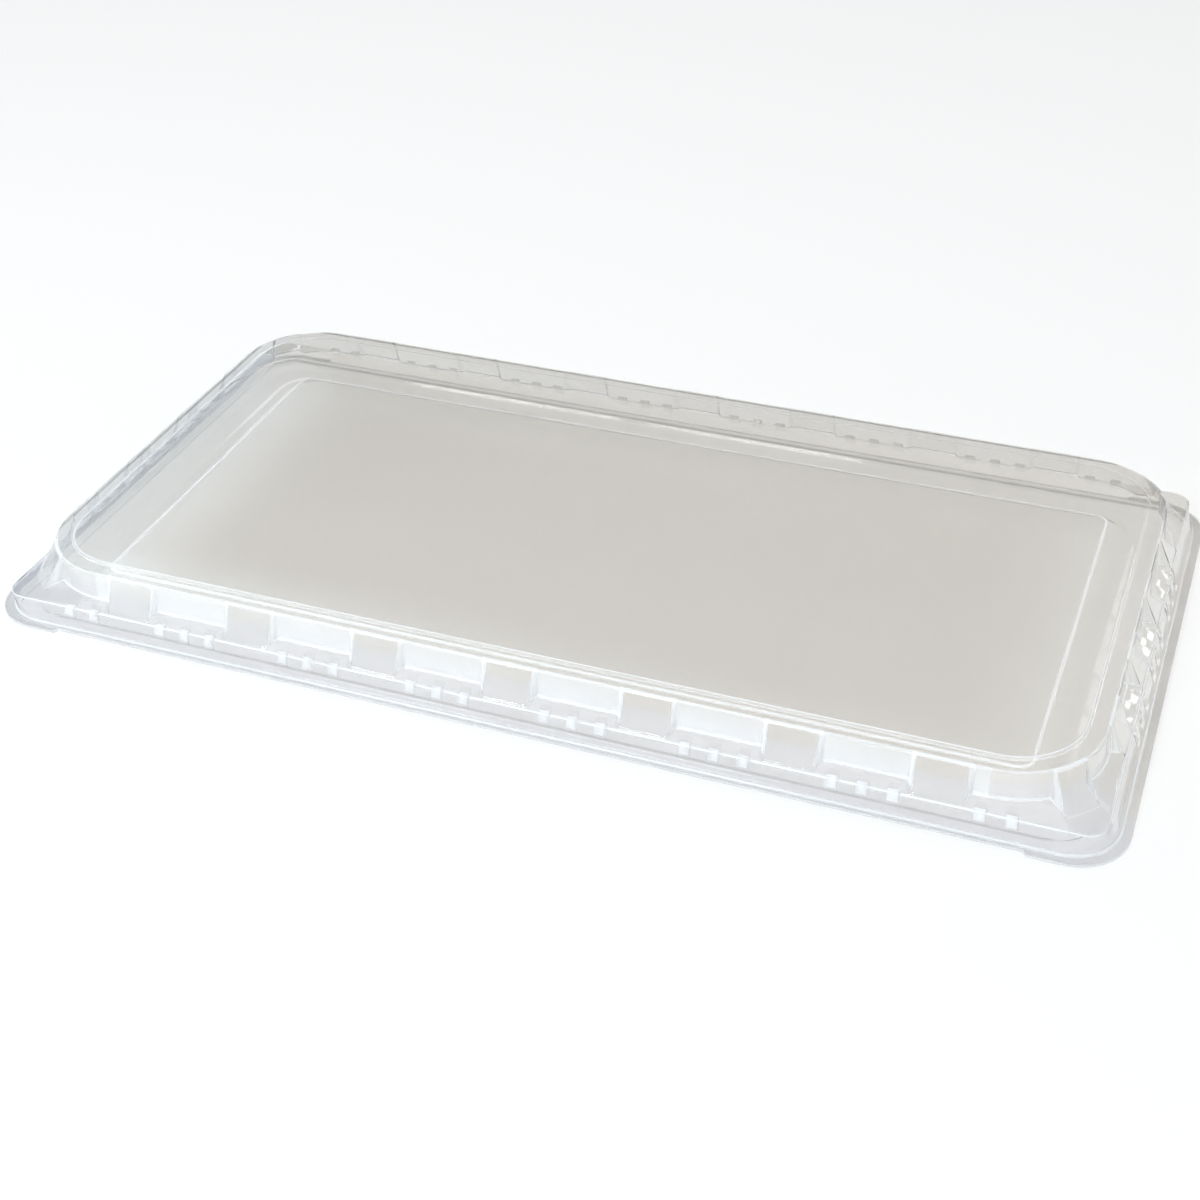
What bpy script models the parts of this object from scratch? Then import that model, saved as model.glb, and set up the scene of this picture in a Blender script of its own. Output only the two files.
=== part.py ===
"""Humidity dome tray: a clear formed dome that rests on a clear formed base tray.

Blender 4.5, metres, +Z up. The origin is the centre of the footprint, on the surface that the
tray stands on, and +X runs along the length. Each piece is one thin sheet. Its surface is lofted
over a quarter of the plan, through rings that go from the middle outwards, then mirrored in X and
Y and given its thickness.
"""

import math

import bmesh
import bpy

SHEET = 0.0007  # thickness of both sheets
GAP = 0.0003  # clearance where the dome's lip lies on the tray's lip

# Plan of the dome's top: half sizes of the upper edge, and its corner radius.
TOP_X = 0.2585
TOP_Y = 0.1310
TOP_RADIUS = 0.042
CORNER_X = TOP_X - TOP_RADIUS  # centre of the upper edge's corner arc
CORNER_Y = TOP_Y - TOP_RADIUS

# Heights of the dome's features above the table.
PANEL_Z = 0.0310
RIM_Z = 0.0300
WALL_TOP_Z = 0.0288
LEDGE_TOP_Z = 0.0163
LEDGE_EDGE_Z = 0.0128
LIP_Z = 2 * SHEET + GAP

RIM_WIDTH = 0.0080  # flat band round the raised panel
PANEL_STEP = 0.0010
EDGE_ROUND = 0.0012

# The wall: slanted pillars that stand out of upright recesses.
PILLAR_PITCH_X = 0.066
PILLAR_PITCH_Y = 0.050
PILLAR_HALF_X = 0.0125
PILLAR_HALF_Y = 0.0105
END_PILLAR_X = 0.1965  # centre of the last pillar of a long side
PILLAR_SIDE = 0.0026  # plan width of a pillar's drafted side wall
PILLAR_RUN = 0.0079  # how far a pillar's foot stands out from the upper edge
CORNER_RUN = 0.0115  # the same for the pillar that wraps round the corner
RECESS_RUN = 0.0010
PILLAR_FOOT_Z = 0.0132
CORNER_PILLAR = (32.0, 54.0)  # degrees of the corner arc, from the X axis

# Outlines below the wall, each as half length, half width and corner radius.
LEDGE_EDGE = (0.26675, 0.13925, 0.010)
SKIRT_FOOT = (0.2714, 0.1415, 0.023)
LIP_EDGE = (0.2760, 0.1435, 0.024)
TAB_EDGE = (0.2760, 0.1460, 0.025)
TAB_START = 71.0  # degrees of the corner arc at which the wider lift tab starts on a long side
TAB_SIDE = 0.6

# The base tray, from its middle outwards: a platform, a soft slope down to the gutter, and a low
# ridge inside the dome's skirt.
PLATFORM = (0.2300, 0.1050, 0.007)
PLATFORM_Z = 0.0128
SLOPE = (0.2390, 0.1140, 0.015)
SLOPE_Z = 0.0060
SLOPE_LOW = (0.2450, 0.1200, 0.021)
SLOPE_LOW_Z = 0.0024
GUTTER = (0.2520, 0.1262, 0.027)
GUTTER_EDGE = (0.2610, 0.1335, 0.022)
RIDGE_INNER = (0.2625, 0.1350, 0.020)
RIDGE_OUTER = (0.2650, 0.1372, 0.012)
RIDGE_FOOT = (0.2675, 0.1390, 0.014)
RIDGE_Z = 0.0034

CLEAR_COLOUR = (0.86, 0.85, 0.83, 1.0)


def clear_scene():
    for found in list(bpy.data.objects):
        bpy.data.objects.remove(found, do_unlink=True)


def clear_plastic(name, roughness):
    material = bpy.data.materials.new(name)
    material.use_nodes = True
    shader = material.node_tree.nodes["Principled BSDF"]
    shader.inputs["Base Color"].default_value = CLEAR_COLOUR
    shader.inputs["Roughness"].default_value = roughness
    shader.inputs["Metallic"].default_value = 0.0
    shader.inputs["Transmission Weight"].default_value = 1.0
    shader.inputs["IOR"].default_value = 1.57
    return material


# A station is a place along the outline of a quarter: (part, value, pillar). part is "long",
# "corner" or "short", value is X, degrees of the corner arc or Y, and pillar is 1 on a slanted
# pillar and 0 in a recess.


def pillar_stations(part, centre, half):
    """The four stations of one pillar, in order of rising value."""
    side = PILLAR_SIDE / 2
    return [
        (part, centre - half - side, 0),
        (part, centre - half + side, 1),
        (part, centre + half - side, 1),
        (part, centre + half + side, 0),
    ]


def corner_degrees():
    """Degrees of the corner's stations, falling from the long side to the short side."""
    low, high = CORNER_PILLAR
    side = 1.5
    ends = [
        (90.0, 0), (80.0, 0), (TAB_START + TAB_SIDE, 0), (TAB_START - TAB_SIDE, 0), (62.0, 0),
        (high + side, 0), (high - side, 1), (48.5, 1), (45.0, 1), (41.5, 1), (38.0, 1),
        (low + side, 1), (low - side, 0), (24.0, 0), (16.0, 0), (8.0, 0), (0.0, 0),
    ]
    return [("corner", degrees, pillar) for degrees, pillar in ends]


def dome_stations():
    long_side = [("long", 0.0, 1)] + pillar_stations("long", 0.0, PILLAR_HALF_X)[2:]
    for centre in (PILLAR_PITCH_X, 2 * PILLAR_PITCH_X, END_PILLAR_X):
        long_side += pillar_stations("long", centre, PILLAR_HALF_X)
    short_side = [("short", 0.0, 0)]
    for number in (0.5, 1.5):
        short_side += pillar_stations("short", number * PILLAR_PITCH_Y, PILLAR_HALF_Y)
    return long_side + corner_degrees() + short_side[::-1]


def tray_stations():
    tab = (TAB_START + TAB_SIDE, TAB_START - TAB_SIDE)
    corner = [("corner", degrees, 0) for degrees in (90, 80, *tab, 62, 55, 50, 45, 40, 35, 28, 14, 0)]
    return [("long", 0.0, 0), ("long", CORNER_X / 2, 0)] + corner + [("short", 0.0, 0)]


def outward(station):
    """Unit normal of the upper edge at a station."""
    part, value, _ = station
    if part == "long":
        return 0.0, 1.0
    if part == "short":
        return 1.0, 0.0
    return math.cos(math.radians(value)), math.sin(math.radians(value))


def on_outline(outline, station):
    """Where a rounded rectangle is met by the station's line, which runs along its normal."""
    half_x, half_y, radius = outline
    part, value, _ = station
    if part == "long":
        return value, half_y
    if part == "short":
        return half_x, value
    way_x, way_y = outward(station)
    to_side = (half_x - CORNER_X) / way_x if way_x > 1e-9 else math.inf
    to_end = (half_y - CORNER_Y) / way_y if way_y > 1e-9 else math.inf
    reach = min(to_side, to_end)
    x, y = CORNER_X + reach * way_x, CORNER_Y + reach * way_y
    arc_x, arc_y = half_x - radius, half_y - radius
    if x <= arc_x + 1e-9 or y <= arc_y + 1e-9:
        return x, y
    # The line meets the arc: |corner + reach * way - arc centre| = radius.
    off_x, off_y = CORNER_X - arc_x, CORNER_Y - arc_y
    along = off_x * way_x + off_y * way_y
    reach = -along + math.sqrt(along**2 - off_x**2 - off_y**2 + radius**2)
    return CORNER_X + reach * way_x, CORNER_Y + reach * way_y


def level(outline, z, stations):
    """A ring that lies at one height."""
    return [(*on_outline(outline, station), z) for station in stations]


def inset_top(inset):
    return TOP_X - inset, TOP_Y - inset, TOP_RADIUS - inset


def wall_foot(stations):
    """The ring at the foot of the wall: far out and low on a pillar, close in and high in a recess."""
    ring = []
    for station in stations:
        x, y = on_outline(inset_top(0.0), station)
        way_x, way_y = outward(station)
        if station[2]:
            run = CORNER_RUN if station[0] == "corner" else PILLAR_RUN
            z = PILLAR_FOOT_Z
        else:
            run = RECESS_RUN
            z = LEDGE_TOP_Z
        ring.append((x + run * way_x, y + run * way_y, z))
    return ring


def lip(plain, tab, z, stations):
    """The outer ring of a lip, wider where the corner's lift tab is."""
    ring = []
    for station in stations:
        in_tab = station[0] == "corner" and station[1] < TAB_START
        ring.append((*on_outline(tab if in_tab else plain, station), z))
    return ring


def sheet(name, rings, material, collection):
    """Lofts the rings of a quarter, mirrors them and gives the sheet its thickness."""
    mesh = bpy.data.meshes.new(name)
    shape = bmesh.new()
    rows = [[shape.verts.new(point) for point in ring] for ring in rings]
    middle = shape.verts.new((0.0, 0.0, rings[0][0][2]))
    shape.faces.new([middle] + rows[0][::-1])
    for inner, outer in zip(rows, rows[1:]):
        for i in range(len(inner) - 1):
            shape.faces.new((inner[i], inner[i + 1], outer[i + 1], outer[i]))
    bmesh.ops.recalc_face_normals(shape, faces=shape.faces)
    shape.faces.ensure_lookup_table()
    if shape.faces[0].normal.z < 0:
        bmesh.ops.reverse_faces(shape, faces=shape.faces)
    shape.to_mesh(mesh)
    shape.free()
    piece = bpy.data.objects.new(name, mesh)
    collection.objects.link(piece)
    mesh.materials.append(material)
    mirror = piece.modifiers.new("Four quarters", "MIRROR")
    mirror.use_axis = (True, True, False)
    mirror.merge_threshold = 0.00001
    thickness = piece.modifiers.new("Sheet", "SOLIDIFY")
    thickness.thickness = SHEET
    thickness.offset = -1.0
    thickness.use_even_offset = True
    return piece


def make_dome(collection):
    stations = dome_stations()
    rings = [
        level(inset_top(RIM_WIDTH + PANEL_STEP), PANEL_Z, stations),
        level(inset_top(RIM_WIDTH), RIM_Z, stations),
        level(inset_top(EDGE_ROUND), RIM_Z, stations),
        level(inset_top(0.0), WALL_TOP_Z, stations),
        wall_foot(stations),
        level(LEDGE_EDGE, LEDGE_EDGE_Z, stations),
        level(SKIRT_FOOT, LIP_Z, stations),
        lip(LIP_EDGE, TAB_EDGE, LIP_Z, stations),
    ]
    return sheet("dome", rings, clear_plastic("dome_clear", 0.05), collection)


def make_base_tray(collection):
    stations = tray_stations()
    rings = [
        level(PLATFORM, PLATFORM_Z, stations),
        level(SLOPE, SLOPE_Z, stations),
        level(SLOPE_LOW, SLOPE_LOW_Z, stations),
        level(GUTTER, SHEET, stations),
        level(GUTTER_EDGE, SHEET, stations),
        level(RIDGE_INNER, RIDGE_Z, stations),
        level(RIDGE_OUTER, RIDGE_Z, stations),
        level(RIDGE_FOOT, SHEET, stations),
        lip(LIP_EDGE, TAB_EDGE, SHEET, stations),
    ]
    return sheet("base_tray", rings, clear_plastic("tray_clear", 0.08), collection)


def main():
    clear_scene()
    collection = bpy.data.collections.new("humidity_dome_tray")
    bpy.context.scene.collection.children.link(collection)
    base_tray = make_base_tray(collection)
    dome = make_dome(collection)
    dome.parent = base_tray


main()
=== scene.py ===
"""Humidity dome tray: the looks of the clear dome and the clear base tray under it.

Each sheet is one smooth surface. Its section is a chain of straight lines with rounded bends, and
it is followed round a quarter of the plan, mirrored in X and Y and thickened. A station is a place
on that way round: ("long", x) or ("short", y) beside a straight edge, or ("corner", degrees) on the
corner arc. Lengths are in metres. Heights and outlines come from the boxes of the two CAD nodes.
"""

import math
from collections import namedtuple

import bmesh
import bpy
import numpy as np
from mathutils import Matrix, Vector


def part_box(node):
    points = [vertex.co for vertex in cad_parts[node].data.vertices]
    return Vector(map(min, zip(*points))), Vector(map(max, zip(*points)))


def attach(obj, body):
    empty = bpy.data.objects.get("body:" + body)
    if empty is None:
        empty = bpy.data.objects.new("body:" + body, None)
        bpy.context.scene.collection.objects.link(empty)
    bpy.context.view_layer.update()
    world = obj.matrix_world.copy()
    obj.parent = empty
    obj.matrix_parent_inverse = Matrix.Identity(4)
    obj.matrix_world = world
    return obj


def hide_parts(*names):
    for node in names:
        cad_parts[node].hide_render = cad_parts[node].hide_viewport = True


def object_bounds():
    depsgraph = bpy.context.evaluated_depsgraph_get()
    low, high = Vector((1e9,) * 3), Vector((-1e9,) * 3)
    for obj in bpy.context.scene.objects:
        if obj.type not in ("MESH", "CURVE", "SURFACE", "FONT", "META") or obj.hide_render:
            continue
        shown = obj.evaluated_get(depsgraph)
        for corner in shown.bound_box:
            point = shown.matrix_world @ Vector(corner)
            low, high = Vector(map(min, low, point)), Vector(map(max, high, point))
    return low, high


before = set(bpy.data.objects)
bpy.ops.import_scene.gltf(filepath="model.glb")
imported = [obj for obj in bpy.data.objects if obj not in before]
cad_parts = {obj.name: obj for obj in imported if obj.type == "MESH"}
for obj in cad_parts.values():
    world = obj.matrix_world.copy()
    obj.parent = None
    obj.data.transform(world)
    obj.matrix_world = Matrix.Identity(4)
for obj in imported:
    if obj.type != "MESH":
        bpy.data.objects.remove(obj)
cad_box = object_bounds()
dome_low, dome_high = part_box("dome")
tray_low, tray_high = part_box("base_tray")

# ---------------------------------------------------------------- sizes shared by both sheets

MM = 0.001
TINY = 1e-9
TOUCHING = 0.001 * MM
SHEET = 0.6 * MM
CAD_SHEET = 0.7 * MM  # the lips' upper faces are this far above the CAD nodes' lowest points
MERGE = 0.01 * MM
BEND_STEPS = 5
MOST_CUT = 0.48  # of the line beside a bend

HALF_X = dome_high.x  # outline over the corner tabs
HALF_Y = dome_high.y
LIP = (HALF_X, HALF_Y - 2.5 * MM, 24.0 * MM)  # outlines: half length, half width, corner radius
TAB = (HALF_X, HALF_Y, 25.0 * MM)
TAB_START = 71.0  # degrees of the corner arc, below which the lip widens into a lift tab
TAB_SIDE = 1.0  # degrees

# ---------------------------------------------------------------- sizes of the dome

LIP_Z = dome_low.z + CAD_SHEET
PANEL_Z = dome_high.z  # upper face of the raised panel
RIM_Z = PANEL_Z - 1.0 * MM
FOOT_Z = LIP_Z + 14.6 * MM  # foot of the recess walls
EDGE_Z = LIP_Z + 11.1 * MM  # the ledge's outer edge

TOP = (HALF_X - 17.5 * MM, HALF_Y - 15.0 * MM, 42.0 * MM)
EDGE = (HALF_X - 9.25 * MM, HALF_Y - 6.75 * MM, 9.0 * MM)
SKIRT = (HALF_X - 4.6 * MM, HALF_Y - 4.5 * MM, 23.0 * MM)
ARC_X, ARC_Y = TOP[0] - TOP[2], TOP[1] - TOP[2]  # centre of the upper edge's corner arc

RIM_WIDTH = 8.0 * MM
PANEL_SLOPE = 1.1 * MM  # plan width of the slope between rim and panel
PANEL_FLAT = 16.0 * MM  # from the rim to the innermost ring of vertices

PILLARS_X = [0.0, 66.0 * MM, 132.0 * MM, 196.5 * MM]  # centres
PILLARS_Y = [25.0 * MM, 75.0 * MM]
PILLAR_HALF_X = 12.5 * MM
PILLAR_HALF_Y = 10.5 * MM
PILLAR_SIDE = 2.6 * MM  # plan width of a pillar's drafted side wall
PILLAR_RUN = 6.9 * MM  # how far a pillar's foot stands out from the upper edge
PILLAR_Z = EDGE_Z + 2.3 * MM
CORNER_PILLAR = (32.0, 54.0)  # degrees of the corner arc
CORNER_SIDE = 3.3  # degrees
CORNER_RUN = 11.5 * MM
CORNER_Z = EDGE_Z + 0.6 * MM
RECESS_RUN = 1.0 * MM  # how far a recess's foot stands out from the upper edge

LUG_HALF = 2.7 * MM  # denesting lugs on the ledge's edge
LUG_SIDE = 0.6 * MM  # plan width of a lug's drafted side
LUG_PITCH = 13.3 * MM
LUG_RISE = 1.3 * MM
SHORT_LUG_RISE = 0.4 * MM
LUG_SLANT = 0.8  # upwards for each unit outwards
LUG_ABOVE = 1.7 * MM  # along the ledge, in from its edge
LUG_BELOW = 4.2 * MM  # along the skirt, down from its edge
LUG_END = 0.6 * MM
LUGS_X = [33.0 * MM, 99.0 * MM, 165.0 * MM]
LUGS_Y = [0.0, 50.0 * MM]
END_LUGS_X = [215.0 * MM, 228.5 * MM]
LUG_POINTS = BEND_STEPS + 3  # of a section: the rounded edge and one point on each side of it
PAST_LUG = BEND_STEPS + 3  # of a section: the lug's lower end, the rounded skirt foot and the lip

PANEL_CUT = 0.6 * MM  # how far from a bend its rounding starts
TOP_CUT = 1.6 * MM
FOOT_CUT = 1.0 * MM
EDGE_CUT = 1.1 * MM
SKIRT_CUT = 1.2 * MM

# Painted highlights, in milky white: glints along the bends, and reflections on the walls and lugs.
PANEL_GLINT = 0.8  # painted glint: milky white in the middle of a bend
RIM_GLINT = 0.3
TOP_GLINT = 0.35
PILLAR_GLINT = 0.45  # added to the upper edge's painted glint on a pillar
FOOT_GLINT = 0.6
SKIRT_GLINT = 0.6
HIGHLIGHT_UNDER_RIM = 0.29  # painted reflection: milky white on a long side's recess walls under the rim
HIGHLIGHT_AT_FOOT = 0.37  # and at their foot
SHORT_HIGHLIGHT = 0.10  # of a short side's recess walls
SIDE_HIGHLIGHT = 0.85  # of a pillar's side walls
SHORT_SIDE_SHARE = 0.5  # of that, at the corners and on the short sides
LUG_HIGHLIGHT = 0.6
SHORT_LUG_HIGHLIGHT = 0.2

# ---------------------------------------------------------------- sizes of the tray

PLATFORM_Z = tray_high.z
FLOOR_Z = tray_low.z + CAD_SHEET
RIDGE_Z = FLOOR_Z + 2.7 * MM
PLATFORM_FLAT = 12.0 * MM  # from the platform's edge to the innermost ring of vertices
PLATFORM = (HALF_X - 46.0 * MM, HALF_Y - 41.0 * MM, 7.0 * MM)
PLATFORM_MIDDLE = (PLATFORM[0] - PLATFORM_FLAT, PLATFORM[1] - PLATFORM_FLAT, 1.0 * MM)
SLOPE_FOOT = (HALF_X - 30.0 * MM, HALF_Y - 25.0 * MM, 21.0 * MM)
GUTTER = (HALF_X - 15.0 * MM, HALF_Y - 12.5 * MM, 22.0 * MM)
RIDGE_IN = (HALF_X - 13.5 * MM, HALF_Y - 11.0 * MM, 20.0 * MM)
RIDGE_OUT = (HALF_X - 11.0 * MM, HALF_Y - 8.8 * MM, 12.0 * MM)
RIDGE_FOOT = (HALF_X - 8.5 * MM, HALF_Y - 7.0 * MM, 14.0 * MM)
PLATFORM_CUT = 1.3 * MM
SLOPE_CUT = 9.0 * MM
RIDGE_CUT = 0.8 * MM

# ---------------------------------------------------------------- stations

# In metres along a straight edge, and in degrees round the corner arc. A mark is (centre, reach,
# step): stations are a step apart within reach of the centre.
DOME_STEP, DOME_CLOSEST = 4 * MM, 0.1 * MM
TRAY_STEP, TRAY_CLOSEST = 12 * MM, 1 * MM
ARC_STEP, ARC_CLOSEST = 2.0, 0.1
SIDE_REACH = 0.62  # of a side wall's width, from its middle
PILLAR_STEPS = 10
LUG_STEPS = 5
CORNER_STEPS = 8
END_LUG_REACH, END_LUG_STEP = 0.5, 0.2
TAB_MARK = (TAB_START, TAB_SIDE * 0.7, TAB_SIDE / 4)
LEDGE_CORNER_MARK = (45.0, 8.0, 0.8)
TRAY_CORNER_MARK = (50.0, 20.0, 1.0)


# ---------------------------------------------------------------- outlines and features


def ramp(t, soft=0.12):
    """0 below 0, 1 above 1 and straight between, with the two bends softened."""
    if t <= -soft:
        return 0.0
    if t < soft:
        return (t + soft) ** 2 / (4 * soft)
    if t <= 1 - soft:
        return t
    if t < 1 + soft:
        return 1 - (1 + soft - t) ** 2 / (4 * soft)
    return 1.0


def raised(value, centre, half, side):
    """1 inside centre +- half and 0 outside, with straight sides."""
    return ramp((half + side / 2 - abs(value - centre)) / side)


def normal_of(part, value):
    """The way out, square to the upper edge."""
    if part == "long":
        return Vector((0.0, 1.0, 0.0))
    if part == "short":
        return Vector((1.0, 0.0, 0.0))
    return Vector((math.cos(math.radians(value)), math.sin(math.radians(value)), 0.0))


def outline_point(outline, part, value):
    """Where a rounded rectangle is met by a line along the upper edge's normal."""
    half_x, half_y, radius = outline
    if part == "long":
        return Vector((value, half_y, 0.0))
    if part == "short":
        return Vector((half_x, value, 0.0))
    way_x, way_y = math.cos(math.radians(value)), math.sin(math.radians(value))
    reach_x = (half_x - ARC_X) / way_x if way_x > TINY else math.inf
    reach_y = (half_y - ARC_Y) / way_y if way_y > TINY else math.inf
    reach = min(reach_x, reach_y)
    off_x, off_y = ARC_X - (half_x - radius), ARC_Y - (half_y - radius)
    if reach * way_x + off_x > 0.0 and reach * way_y + off_y > 0.0:
        along = off_x * way_x + off_y * way_y
        reach = -along + math.sqrt(along**2 - off_x**2 - off_y**2 + radius**2)
    return Vector((ARC_X + reach * way_x, ARC_Y + reach * way_y, 0.0))


def at(outline, z, part, value):
    point = outline_point(outline, part, value)
    point.z = z
    return point


def inset_top(inset):
    return TOP[0] - inset, TOP[1] - inset, TOP[2] - inset


def pillar_share(part, value):
    """1 on a pillar, 0 in a recess."""
    if part == "corner":
        low, high = CORNER_PILLAR
        return raised(value, (low + high) / 2, (high - low) / 2, CORNER_SIDE)
    centres, half = (PILLARS_X, PILLAR_HALF_X) if part == "long" else (PILLARS_Y, PILLAR_HALF_Y)
    return max(raised(value, centre, half, PILLAR_SIDE) for centre in centres)


def lug_centres(part):
    """Lugs stand in threes, with two more near each end of a long side."""
    if part == "short":
        return [abs(centre + k * LUG_PITCH) for centre in LUGS_Y for k in (-1, 0, 1)]
    return [centre + k * LUG_PITCH for centre in LUGS_X for k in (-1, 0, 1)] + END_LUGS_X


def lug_share(part, value):
    """1 on a denesting lug. The outermost ones stand on the straight edge beside the corner arc."""
    if part == "corner":
        edge = outline_point(EDGE, part, value)
        if edge.y < EDGE[1] - TOUCHING:
            return 0.0
        part, value = "long", edge.x
    return max(raised(value, centre, LUG_HALF, LUG_SIDE) for centre in lug_centres(part))


def tab_share(part, value):
    """1 on a corner tab, 0 on the rest of the lip."""
    return ramp((TAB_START - value) / TAB_SIDE + 0.5) if part == "corner" else 0.0


# ---------------------------------------------------------------- sections

# A bend is rounded from cut before it to cut after it, and with no cut it is only passed through.
# The painted highlight, in milky white, turns from before to after round it, and a painted
# glint is added in the middle.
Bend = namedtuple("Bend", "point cut crease before after", defaults=(0.0, 0.0, 0.0, 0.0))


def cut_point(corner, neighbour, cut):
    """Where a corner's rounding starts or ends on the line to its neighbour."""
    way = neighbour - corner
    return corner + way * min(MOST_CUT, cut / max(TINY, way.length))


def rounded(chain):
    """(point, painted highlight) along a chain of straight lines whose inner corners are rounded."""
    points = [(chain[0].point, 0.0)]
    for last, bend, following in zip(chain, chain[1:], chain[2:]):
        corner, cut, glint, before, after = bend
        if not cut:
            points.append((corner, glint))
            continue
        first = cut_point(corner, last.point, cut)
        end = cut_point(corner, following.point, cut)
        for i in range(BEND_STEPS + 1):
            t = i / BEND_STEPS
            point = first * (1 - t) ** 2 + corner * 2 * t * (1 - t) + end * t * t
            white = before * (1 - t) + after * t + glint * math.sin(math.pi * t)
            points.append((point, min(1.0, white)))
    points.append((chain[-1].point, 0.0))
    return points


def towards(start, end, distance):
    """The point at a distance from start on the way to end, but no more than halfway."""
    return start.lerp(end, min(0.5, distance / (end - start).length))


def wall_foot(part, value):
    share = pillar_share(part, value)
    top = outline_point(TOP, part, value)
    run = CORNER_RUN if part == "corner" else PILLAR_RUN
    pillar_z = CORNER_Z if part == "corner" else PILLAR_Z
    foot = top + normal_of(part, value) * (RECESS_RUN + (run - RECESS_RUN) * share)
    foot.z = FOOT_Z + (pillar_z - FOOT_Z) * share
    return foot


def wall_highlight(part, share):
    """(under the rim, at the foot) of painted highlight, in milky white: more in recesses than on
    pillars, and most on side walls.
    """
    if part == "long":
        top, foot, side_share = HIGHLIGHT_UNDER_RIM, HIGHLIGHT_AT_FOOT, 1.0
    else:
        top, foot, side_share = SHORT_HIGHLIGHT, SHORT_HIGHLIGHT, SHORT_SIDE_SHARE
    side = 4 * share * (1 - share) * SIDE_HIGHLIGHT * side_share
    return max(top * (1 - share), side), max(foot * (1 - share), side)


def raise_lug(points, part, value, lug):
    """Pushes the stretch round the ledge's edge out and up, in place."""
    out = normal_of(part, value) if part != "corner" else Vector((0.0, 1.0, 0.0))
    rise = SHORT_LUG_RISE if part == "short" else LUG_RISE
    # the lug's painted highlight, in milky white
    lug_highlight = SHORT_LUG_HIGHLIGHT if part == "short" else LUG_HIGHLIGHT
    way = (out + Vector((0.0, 0.0, LUG_SLANT))).normalized() * rise * lug
    end = len(points) - PAST_LUG
    for i in range(end - LUG_POINTS, end):
        point, white = points[i]
        points[i] = (point + way, max(white, lug_highlight * lug))


def lip_point(z, part, value):
    return at(LIP, z, part, value).lerp(at(TAB, z, part, value), tab_share(part, value))


def dome_section(part, value):
    """(point, painted highlight) along the dome's section at a station, from the panel out to the lip.
    """
    share = pillar_share(part, value)
    under_rim, at_foot = wall_highlight(part, share)
    foot = wall_foot(part, value)
    edge = at(EDGE, EDGE_Z, part, value)
    skirt = at(SKIRT, LIP_Z, part, value)
    points = rounded([
        Bend(at(inset_top(RIM_WIDTH + PANEL_FLAT), PANEL_Z, part, value)),
        Bend(at(inset_top(RIM_WIDTH + PANEL_SLOPE), PANEL_Z, part, value), PANEL_CUT, PANEL_GLINT),
        Bend(at(inset_top(RIM_WIDTH), RIM_Z, part, value), PANEL_CUT, RIM_GLINT),
        Bend(at(TOP, RIM_Z, part, value), TOP_CUT, TOP_GLINT + PILLAR_GLINT * share, 0.0, under_rim),
        Bend(foot, FOOT_CUT, FOOT_GLINT * (1 - share), at_foot, 0.0),
        Bend(towards(edge, foot, LUG_ABOVE + LUG_END)),
        Bend(towards(edge, foot, LUG_ABOVE)),
        # a full painted glint along the ledge's edge
        Bend(edge, EDGE_CUT, 1.0),
        Bend(towards(edge, skirt, LUG_BELOW)),
        Bend(towards(edge, skirt, LUG_BELOW + LUG_END)),
        Bend(skirt, SKIRT_CUT, SKIRT_GLINT),
        Bend(lip_point(LIP_Z, part, value)),
    ])
    lug = lug_share(part, value)
    if lug > 0.0:
        raise_lug(points, part, value, lug)
    return points


def tray_section(part, value):
    """(point, painted highlight) along the tray's section at a station, from the platform out to the
    lip.
    """
    return rounded([
        Bend(at(PLATFORM_MIDDLE, PLATFORM_Z, part, value)),
        # a full painted glint along the platform's edge
        Bend(at(PLATFORM, PLATFORM_Z, part, value), PLATFORM_CUT, 1.0),
        Bend(at(SLOPE_FOOT, FLOOR_Z, part, value), SLOPE_CUT),
        Bend(at(GUTTER, FLOOR_Z, part, value), RIDGE_CUT),
        Bend(at(RIDGE_IN, RIDGE_Z, part, value), RIDGE_CUT),
        Bend(at(RIDGE_OUT, RIDGE_Z, part, value), RIDGE_CUT),
        Bend(at(RIDGE_FOOT, FLOOR_Z, part, value), RIDGE_CUT),
        Bend(lip_point(FLOOR_Z, part, value)),
    ])


# ---------------------------------------------------------------- sheets


def spread(low, high, coarse, marks, closest):
    """Rising values from low to high: coarse steps, and fine ones near each (centre, reach, step)."""
    values = list(np.linspace(low, high, max(2, int(round((high - low) / coarse)) + 1)))
    for centre, reach, step in marks:
        count = int(round(2 * reach / step))
        values += [centre - reach + step * i for i in range(count + 1)]
    kept = [low]
    for value in sorted(values):
        if low + closest < value < high - closest and value - kept[-1] > closest:
            kept.append(value)
    return kept + [high]


def ends(centres, half, side, count):
    """Marks at both ends of each raised stretch."""
    reach = side * SIDE_REACH
    return [(c + s * half, reach, 2 * reach / count) for c in centres for s in (-1, 1)]


def stations(coarse, closest, long_marks, corner_marks, short_marks):
    """The stations from the middle of a long side round the corner to the middle of a short one."""
    found = [("long", v) for v in spread(0.0, ARC_X, coarse, long_marks, closest)]
    found += [("corner", v) for v in spread(0.0, 90.0, ARC_STEP, corner_marks, ARC_CLOSEST)[::-1]][1:]
    found += [("short", v) for v in spread(0.0, ARC_Y, coarse, short_marks, closest)[::-1]][1:]
    return found


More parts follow.
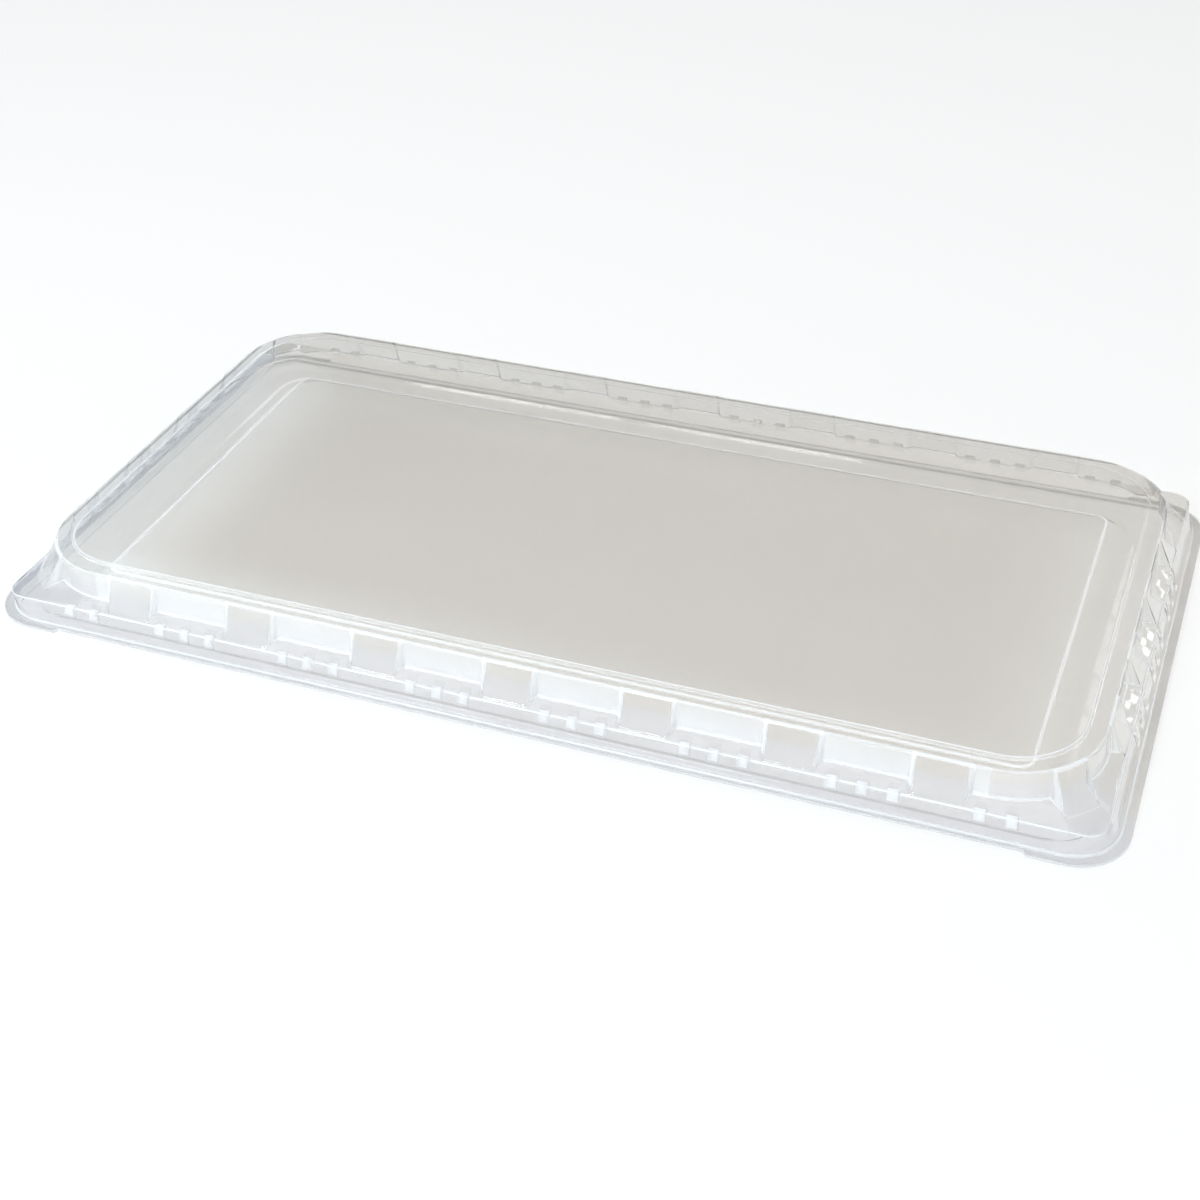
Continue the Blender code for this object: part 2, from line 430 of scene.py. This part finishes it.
def dome_stations():
    long_marks = ends(PILLARS_X, PILLAR_HALF_X, PILLAR_SIDE, PILLAR_STEPS)
    long_marks += ends(lug_centres("long"), LUG_HALF, LUG_SIDE, LUG_STEPS)
    short_marks = ends(PILLARS_Y, PILLAR_HALF_Y, PILLAR_SIDE, PILLAR_STEPS)
    short_marks += ends(lug_centres("short"), LUG_HALF, LUG_SIDE, LUG_STEPS)
    corner_marks = [(a, CORNER_SIDE * SIDE_REACH, CORNER_SIDE / CORNER_STEPS) for a in CORNER_PILLAR]
    corner_marks += [TAB_MARK, LEDGE_CORNER_MARK]
    for centre in END_LUGS_X:
        for edge in (centre - LUG_HALF, centre + LUG_HALF):
            if edge > ARC_X:
                angle = math.degrees(math.atan2(EDGE[1] - ARC_Y, edge - ARC_X))
                corner_marks.append((angle, END_LUG_REACH, END_LUG_STEP))
    return stations(DOME_STEP, DOME_CLOSEST, long_marks, corner_marks, short_marks)


def tray_stations():
    return stations(TRAY_STEP, TRAY_CLOSEST, [], [TAB_MARK, TRAY_CORNER_MARK], [])


def quarter_mesh(name, rows):
    """One quarter of a sheet, from a row of (point, painted highlight) at each station."""
    shape = bmesh.new()
    # the painted highlights go into a vertex layer, which the material reads
    painted_highlight_layer = shape.verts.layers.float.new("white")
    grid = []
    for row in rows:
        grid.append([shape.verts.new(point) for point, _ in row])
        for vertex, (_, white) in zip(grid[-1], row):
            vertex[painted_highlight_layer] = white
    for row, following in zip(grid, grid[1:]):
        for i in range(len(row) - 1):
            shape.faces.new((row[i], row[i + 1], following[i + 1], following[i]))
    middle = shape.verts.new((0.0, 0.0, rows[0][0][0].z))
    shape.faces.new([middle] + [row[0] for row in grid][::-1])
    bmesh.ops.recalc_face_normals(shape, faces=shape.faces)
    shape.faces.ensure_lookup_table()
    if shape.faces[-1].normal.z < 0:
        bmesh.ops.reverse_faces(shape, faces=shape.faces)
    for face in shape.faces:
        face.smooth = True
    for row, following in zip(grid, grid[1:]):
        shape.edges.get((row[-1], following[-1])).smooth = False
    mesh = bpy.data.meshes.new(name)
    shape.to_mesh(mesh)
    shape.free()
    return mesh


def formed_sheet(name, rows, body, node, material, edge_material):
    mesh = quarter_mesh(name, rows)
    mesh.materials.append(material)
    mesh.materials.append(edge_material)
    piece = bpy.data.objects.new(name, mesh)
    bpy.context.scene.collection.objects.link(piece)
    mirror = piece.modifiers.new("Four quarters", "MIRROR")
    mirror.use_axis = (True, True, False)
    mirror.merge_threshold = MERGE
    solid = piece.modifiers.new("Sheet", "SOLIDIFY")
    solid.thickness = SHEET
    solid.offset = -1.0
    solid.use_even_offset = False
    solid.material_offset_rim = 1
    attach(piece, body)
    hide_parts(node)


# ---------------------------------------------------------------- looks

# A tint is the light that one sheet lets through. It turns from the low tint to the high tint
# between the two heights, and a painted warm reflection takes its place along the back wall and
# most of the short wall on the right. One number scales the painted highlights, in milky white,
# and another says how much of them the back wall lacks.
Look = namedtuple("Look", "low_tint high_tint back_tint heights ior gloss whiteness back_fade")

DOME_LOOK = Look(
    low_tint=(0.867, 0.872, 0.905), high_tint=(0.855, 0.832, 0.808), back_tint=(0.885, 0.87, 0.85),
    heights=(20 * MM, RIM_Z), ior=1.06, gloss=1.0, whiteness=1.0, back_fade=0.85,
)
TRAY_TINT = (0.82, 0.81, 0.80)
TRAY_RIM_TINT = (0.87, 0.865, 0.86)
TRAY_LOOK = Look(
    low_tint=TRAY_RIM_TINT, high_tint=TRAY_TINT, back_tint=TRAY_RIM_TINT,
    heights=(0.0, PLATFORM_Z), ior=1.02, gloss=0.5, whiteness=0.9, back_fade=0.0,
)

# Where two numbers are a range, a share turns from 0 at the first to 1 at the second.
COOL_REFLECTION_TINT = (0.97, 0.99, 1.0)  # painted cool reflection on the panel's outer part
NEAR_WALL = (0.70, 1.0)  # of the way from the middle to the upper edge
COOL_ACROSS = (-0.22, 0.1)  # X, from the left to the right
COOL_LEFT = 0.75  # share of the painted cool reflection at the left
COOL_DROP = -0.52  # from there to the right
# Where the painted warm reflection lies: the back wall and most of the right-hand wall.
BACK_WALL = (0.112, 0.124)  # Y
RIGHT_WALL = (0.252, 0.262)  # X
RIGHT_WALL_ALONG = (-0.13, -0.09)  # Y
RIGHT_WALL_SHARE = 0.8

EDGE_ON_TINT_AND_SHADE = (0.10, 0.10, 0.09)  # where the sheet is seen along its length: a deeper tint, and along the upper bend painted shade
EDGE_ON = (0.45, 0.54)  # of Layer Weight's Facing
UPPER_BEND_Z = (RIM_Z - 2.0 * MM, RIM_Z - 0.8 * MM)
UPPER_BEND_IN = (-4.0 * MM, -3.4 * MM)  # from the upper edge's outline, outwards
UPPER_BEND_OUT = (-1.6 * MM, -2.2 * MM)
UPPER_BEND_SHARE = 0.75
PANEL_SHARE = 0.15

# Painted highlights and reflections are drawn in this milky white.
HIGHLIGHT_WHITE = (0.95, 0.975, 1.0, 1.0)
MILK_FRONT_SHARE = 0.6  # of the painted highlight's milky white is lit from the front, and the rest from behind
MILK_EVERYWHERE = 0.005
BACK_HALF = (-0.1, 0.1)  # Y
NOT_CREASED = (0.97, 0.87)  # of the painted highlight
PATCHES = (0.3, 0.85)  # strength and base of the uneven painted highlight

FLOW_SCALE = 9.0  # flow marks of the forming
RIPPLE_SCALE = 60.0
RIPPLE_SHARE = 0.08
SPECK_SCALE = 900.0
BUMP_STRENGTH = 0.15
BUMP_DEPTH = 0.5 * MM
ROUGH = 0.01
SPECK_ROUGH = 0.05  # more, in the specks
COAT_IOR = 1.5
COAT_ROUGH = 0.03
SHADOW_TINT = (0.95, 0.95, 0.94, 1.0)

TORN_SCALE = 700.0
TORN_DETAIL = 3.0
TORN_COLOURS = [(0.3, (0.80, 0.83, 0.88)), (0.7, (0.93, 0.94, 0.96))]
EDGE_THROUGH = (0.93, 0.94, 0.96, 1.0)
EDGE_THROUGH_SHARE = 0.5


# ---------------------------------------------------------------- materials


class Nodes:
    """A short way to write a node tree."""

    def __init__(self, owner):
        owner.use_nodes = True
        self.tree = owner.node_tree
        self.tree.nodes.clear()

    def put(self, socket, value):
        """Links a socket, or sets a value."""
        if isinstance(value, bpy.types.NodeSocket):
            self.tree.links.new(value, socket)
        else:
            socket.default_value = value

    def add(self, kind, settings=None, **inputs):
        """A node. An input is named as in Blender, with _ for a space, or i and its number."""
        node = self.tree.nodes.new(kind)
        for key, value in (settings or {}).items():
            setattr(node, key, value)
        for key, value in inputs.items():
            numbered = key[0] == "i" and key[1:].isdigit()
            self.put(node.inputs[int(key[1:]) if numbered else key.replace("_", " ")], value)
        return node

    def math(self, operation, a, b=0.0, c=0.0, clamp=False):
        settings = {"operation": operation, "use_clamp": clamp}
        return self.add("ShaderNodeMath", settings, i0=a, i1=b, i2=c).outputs[0]

    def smooth(self, value, low, high):
        """0 at low and 1 at high, which may be the lesser of the two."""
        settings = {"interpolation_type": "SMOOTHSTEP"}
        return self.add("ShaderNodeMapRange", settings, i0=value, i1=low, i2=high).outputs[0]

    def noise(self, coords, scale, detail):
        return self.add("ShaderNodeTexNoise", Vector=coords, Scale=scale, Detail=detail).outputs["Fac"]

    def mix(self, share, first, second):
        colours = [(*c, 1.0) if isinstance(c, tuple) else c for c in (first, second)]
        return self.add("ShaderNodeMixRGB", i0=share, i1=colours[0], i2=colours[1]).outputs[0]

    def ramp(self, value, stops):
        node = self.add("ShaderNodeValToRGB", i0=value)
        elements = node.color_ramp.elements
        while len(elements) > 1:
            elements.remove(elements[-1])
        elements[0].position, elements[0].color = stops[0][0], (*stops[0][1], 1.0)
        for position, colour in stops[1:]:
            elements.new(position).color = (*colour, 1.0)
        return node.outputs[0]

    def blend(self, share, first, second):
        return self.add("ShaderNodeMixShader", i0=share, i1=first, i2=second).outputs[0]

    def finish(self, kind, shader):
        self.add(kind, Surface=shader)


def tint_with_painted_reflections(n, place, look):
    """Tint with painted reflections: cool by the panel's edge, warm on the back and right walls."""
    high = n.smooth(place["Z"], *look.heights)
    tint = n.mix(high, look.low_tint, look.high_tint)
    far_x = n.math("DIVIDE", n.math("ABSOLUTE", place["X"]), TOP[0])
    far_y = n.math("DIVIDE", n.math("ABSOLUTE", place["Y"]), TOP[1])
    near_wall = n.smooth(n.math("MAXIMUM", far_x, far_y), *NEAR_WALL)
    cool_reflection_share = n.math("MULTIPLY_ADD", n.smooth(place["X"], *COOL_ACROSS), COOL_DROP, COOL_LEFT)
    with_cool_reflection = n.mix(cool_reflection_share, look.high_tint, COOL_REFLECTION_TINT)
    tint = n.mix(n.math("MULTIPLY", near_wall, high), tint, with_cool_reflection)
    along = n.smooth(place["Y"], *RIGHT_WALL_ALONG)
    right = n.math("MULTIPLY", n.smooth(place["X"], *RIGHT_WALL), along)
    back = n.smooth(place["Y"], *BACK_WALL)
    warm_reflection = n.math("MAXIMUM", back, n.math("MULTIPLY", right, RIGHT_WALL_SHARE))
    return n.mix(warm_reflection, tint, look.back_tint)


def edge_on_tint_and_shade(n, place):
    """How much deeper the tint is where the rim is seen at a shallow angle, most at its bend,
    where it is a painted dark line of shade.
    """
    facing = n.add("ShaderNodeLayerWeight", Blend=0.5).outputs["Facing"]
    out_x = n.math("SUBTRACT", n.math("ABSOLUTE", place["X"]), TOP[0])
    out_y = n.math("SUBTRACT", n.math("ABSOLUTE", place["Y"]), TOP[1])
    outward = n.math("MAXIMUM", out_x, out_y)
    bend = n.math("MULTIPLY", n.smooth(outward, *UPPER_BEND_IN), n.smooth(outward, *UPPER_BEND_OUT))
    depth = n.math("MAXIMUM", n.math("MULTIPLY", bend, UPPER_BEND_SHARE), PANEL_SHARE)
    shallow = n.math("MULTIPLY", n.smooth(facing, *EDGE_ON), n.smooth(place["Z"], *UPPER_BEND_Z))
    return n.math("MULTIPLY", shallow, depth)


def painted_highlight_share(n, place, flow, look):
    """Share of painted highlight, in milky white. The back wall keeps only its sharpest creases."""
    white = n.add("ShaderNodeAttribute", {"attribute_name": "white"}).outputs["Fac"]
    back = n.math("MULTIPLY", n.smooth(place["Y"], *BACK_HALF), n.smooth(white, *NOT_CREASED))
    kept = n.math("SUBTRACT", 1.0, n.math("MULTIPLY", back, look.back_fade))
    uneven = n.math("MULTIPLY", n.math("MULTIPLY_ADD", flow, *PATCHES), look.whiteness)
    share = n.math("MULTIPLY", n.math("MULTIPLY", white, kept), uneven)
    return n.math("ADD", share, MILK_EVERYWHERE, clamp=True)


def clear_sheet(name, look):
    """Clear formed plastic, in a sheet too thin to bend the view but glossy on both faces.

    It has a light tint, flow marks and fine specks. Milky white along its bends and walls is painted
    highlight and reflection, the tint holds painted cool and warm reflections, and it darkens at a
    shallow angle, most of all along the upper bend, where that is a painted dark line of shade.
    Lamps shine through it without a dark shadow.
    """
    material = bpy.data.materials.new(name)
    n = Nodes(material)
    coords = n.add("ShaderNodeTexCoord").outputs["Object"]
    place = n.add("ShaderNodeSeparateXYZ", Vector=coords).outputs
    # the tint, with painted cool and warm reflections, darkened at a shallow angle and along the upper
    # bend
    tint = n.mix(edge_on_tint_and_shade(n, place), tint_with_painted_reflections(n, place, look), EDGE_ON_TINT_AND_SHADE)

    flow = n.noise(coords, FLOW_SCALE, detail=3.0)
    ripple = n.noise(coords, RIPPLE_SCALE, detail=2.0)
    specks = n.noise(coords, SPECK_SCALE, detail=2.0)
    height = n.math("ADD", flow, n.math("MULTIPLY", ripple, RIPPLE_SHARE))
    bump = n.add("ShaderNodeBump", Strength=BUMP_STRENGTH, Distance=BUMP_DEPTH, Height=height)
    rough = n.math("ADD", n.math("MULTIPLY", specks, SPECK_ROUGH), ROUGH)

    glass = n.add(
        "ShaderNodeBsdfPrincipled", Base_Color=tint, Roughness=rough, Normal=bump.outputs[0],
        IOR=look.ior, Transmission_Weight=1.0,
        Coat_Weight=look.gloss, Coat_IOR=COAT_IOR, Coat_Roughness=COAT_ROUGH,
    ).outputs[0]
    # milky white for the painted highlights and reflections
    behind = n.add("ShaderNodeBsdfTranslucent", Color=HIGHLIGHT_WHITE).outputs[0]
    front = n.add("ShaderNodeBsdfDiffuse", Color=HIGHLIGHT_WHITE).outputs[0]
    highlight_milk = n.blend(MILK_FRONT_SHARE, behind, front)
    sheet = n.blend(painted_highlight_share(n, place, flow, look), glass, highlight_milk)
    lets_lamps = n.add("ShaderNodeBsdfTransparent", Color=SHADOW_TINT).outputs[0]
    lamp_ray = n.add("ShaderNodeLightPath").outputs["Is Shadow Ray"]
    n.finish("ShaderNodeOutputMaterial", n.blend(lamp_ray, sheet, lets_lamps))
    return material


def cut_edge(name):
    """The die-cut edge of the sheet, which is finely torn and so looks pale and milky."""
    material = bpy.data.materials.new(name)
    n = Nodes(material)
    coords = n.add("ShaderNodeTexCoord").outputs["Object"]
    colour = n.ramp(n.noise(coords, TORN_SCALE, TORN_DETAIL), TORN_COLOURS)
    pale = n.add("ShaderNodeBsdfDiffuse", Color=colour).outputs[0]
    through = n.add("ShaderNodeBsdfTransparent", Color=EDGE_THROUGH).outputs[0]
    n.finish("ShaderNodeOutputMaterial", n.blend(EDGE_THROUGH_SHARE, pale, through))
    return material


# ---------------------------------------------------------------- stage, light and camera

FLOOR_HALF = 2.6
FLOOR_GAP = 0.1 * MM
FLOOR_COLOUR = (0.96, 0.96, 0.96, 1.0)
FLOOR_ROUGH = 0.9
FLOOR_SPECULAR = 0.1

STUDIO_LEFT = (0.84, 0.94, 1.0)
STUDIO_RIGHT = (1.0, 0.97, 0.94)
STUDIO_ACROSS = (-0.8, 0.2)  # X of the way out, from the left to the right
STUDIO_DOWN = (0.5, 0.05)  # Z of the way out, from overhead to the horizon
STUDIO_OVERHEAD = 0.40
STUDIO_GAIN = 0.55  # from overhead to the horizon

MIDDLE = (0.0, 0.0, 0.0)  # sizes in metres, powers in watts
OVERHEAD_PLACE = (0.0, 0.0, 3.2)
OVERHEAD_SIZE = (5.0, 5.0)
OVERHEAD_POWER = 65.0
PANE_COLUMNS = (-0.3, 0.3)
PANE_HEIGHTS = (1.85, 2.35)
PANES_X, PANES_Y = -1.1, -2.7
PANE_SIZE = (0.5, 0.4)
PANE_POWER = 14.0
PANE_COLOUR = (0.93, 0.97, 1.0)
SIDE_WINDOWS = [  # place, size, power
    ((1.7, 2.9, 1.6), (0.5, 0.6), 3.0),
    ((-2.3, 2.9, 0.8), (0.8, 0.6), 4.0),
]

CAMERA_AZIMUTH = 21.8  # degrees
CAMERA_ELEVATION = 35.28
CAMERA_ROLL = -1.491
CAMERA_DISTANCE = 0.9508
CAMERA_TARGET = (0.0051, -0.0322, 0.0)
CAMERA_SENSOR = 36.0  # mm
CAMERA_LENS = 57.78
CAMERA_NEAR = 0.01


def floor_material():
    material = bpy.data.materials.new("floor_pale")
    material.use_nodes = True
    shader = material.node_tree.nodes["Principled BSDF"]
    shader.inputs["Base Color"].default_value = FLOOR_COLOUR
    shader.inputs["Roughness"].default_value = FLOOR_ROUGH
    shader.inputs["Specular IOR Level"].default_value = FLOOR_SPECULAR
    return material


def make_floor():
    mesh = bpy.data.meshes.new("floor")
    shape = bmesh.new()
    bmesh.ops.create_grid(shape, x_segments=1, y_segments=1, size=FLOOR_HALF)
    shape.to_mesh(mesh)
    shape.free()
    mesh.materials.append(floor_material())
    floor = bpy.data.objects.new("floor", mesh)
    floor.location.z = cad_box[0].z - FLOOR_GAP
    bpy.context.scene.collection.objects.link(floor)


def make_world():
    """A pale studio, dimmer overhead and cooler on the left."""
    world = bpy.data.worlds.new("studio")
    bpy.context.scene.world = world
    n = Nodes(world)
    coords = n.add("ShaderNodeTexCoord").outputs["Generated"]
    way = n.add("ShaderNodeSeparateXYZ", Vector=coords).outputs
    down = n.smooth(way["Z"], *STUDIO_DOWN)
    strength = n.math("MULTIPLY_ADD", down, STUDIO_GAIN, STUDIO_OVERHEAD)
    colour = n.mix(n.smooth(way["X"], *STUDIO_ACROSS), STUDIO_LEFT, STUDIO_RIGHT)
    background = n.add("ShaderNodeBackground", Color=colour, Strength=strength).outputs[0]
    n.finish("ShaderNodeOutputWorld", background)


def area_light(name, place, size, power, colour=(1.0, 1.0, 1.0)):
    """A rectangular lamp that points at the middle of the scene."""
    data = bpy.data.lights.new(name, "AREA")
    data.shape = "RECTANGLE"
    data.size, data.size_y = size
    data.energy = power
    data.color = colour
    light = bpy.data.objects.new(name, data)
    light.location = place
    light.rotation_euler = (Vector(MIDDLE) - Vector(place)).to_track_quat("-Z", "Y").to_euler()
    bpy.context.scene.collection.objects.link(light)
    return light


def make_lights():
    """A wide lamp overhead, a window of four panes at the front left and two behind."""
    area_light("overhead", OVERHEAD_PLACE, OVERHEAD_SIZE, OVERHEAD_POWER)
    for across in PANE_COLUMNS:
        for height in PANE_HEIGHTS:
            place = (PANES_X + across, PANES_Y, height)
            pane = area_light("window_pane", place, PANE_SIZE, PANE_POWER, PANE_COLOUR)
            pane.visible_camera = False
    for place, size, power in SIDE_WINDOWS:
        area_light("side_window", place, size, power).visible_camera = False


def make_camera():
    azimuth, elevation = math.radians(CAMERA_AZIMUTH), math.radians(CAMERA_ELEVATION)
    back = Vector((
        math.sin(azimuth) * math.cos(elevation),
        -math.cos(azimuth) * math.cos(elevation),
        math.sin(elevation),
    ))
    right = Vector((0.0, 0.0, 1.0)).cross(back).normalized()
    up = back.cross(right)
    roll = math.radians(CAMERA_ROLL)
    side = right * math.cos(roll) + up * math.sin(roll)
    top = up * math.cos(roll) - right * math.sin(roll)
    data = bpy.data.cameras.new("camera")
    data.sensor_width = CAMERA_SENSOR
    data.lens = CAMERA_LENS
    data.clip_start = CAMERA_NEAR
    camera = bpy.data.objects.new("camera", data)
    place = Vector(CAMERA_TARGET) + back * CAMERA_DISTANCE
    camera.matrix_world = Matrix((
        (side.x, top.x, back.x, place.x),
        (side.y, top.y, back.y, place.y),
        (side.z, top.z, back.z, place.z),
        (0.0, 0.0, 0.0, 1.0),
    ))
    bpy.context.scene.collection.objects.link(camera)
    bpy.context.scene.camera = camera


# ---------------------------------------------------------------- the scene

make_camera()
bpy.context.scene.view_settings.view_transform = "Standard"
make_floor()
make_world()
make_lights()
formed_sheet(
    "dome_sheet", [dome_section(*station) for station in dome_stations()],
    "dome", "dome",
    clear_sheet("dome_clear_plastic", DOME_LOOK), cut_edge("dome_cut_edge"),
)
formed_sheet(
    "base_tray_sheet", [tray_section(*station) for station in tray_stations()],
    "base_tray", "base_tray",
    clear_sheet("tray_clear_plastic", TRAY_LOOK), cut_edge("tray_cut_edge"),
)
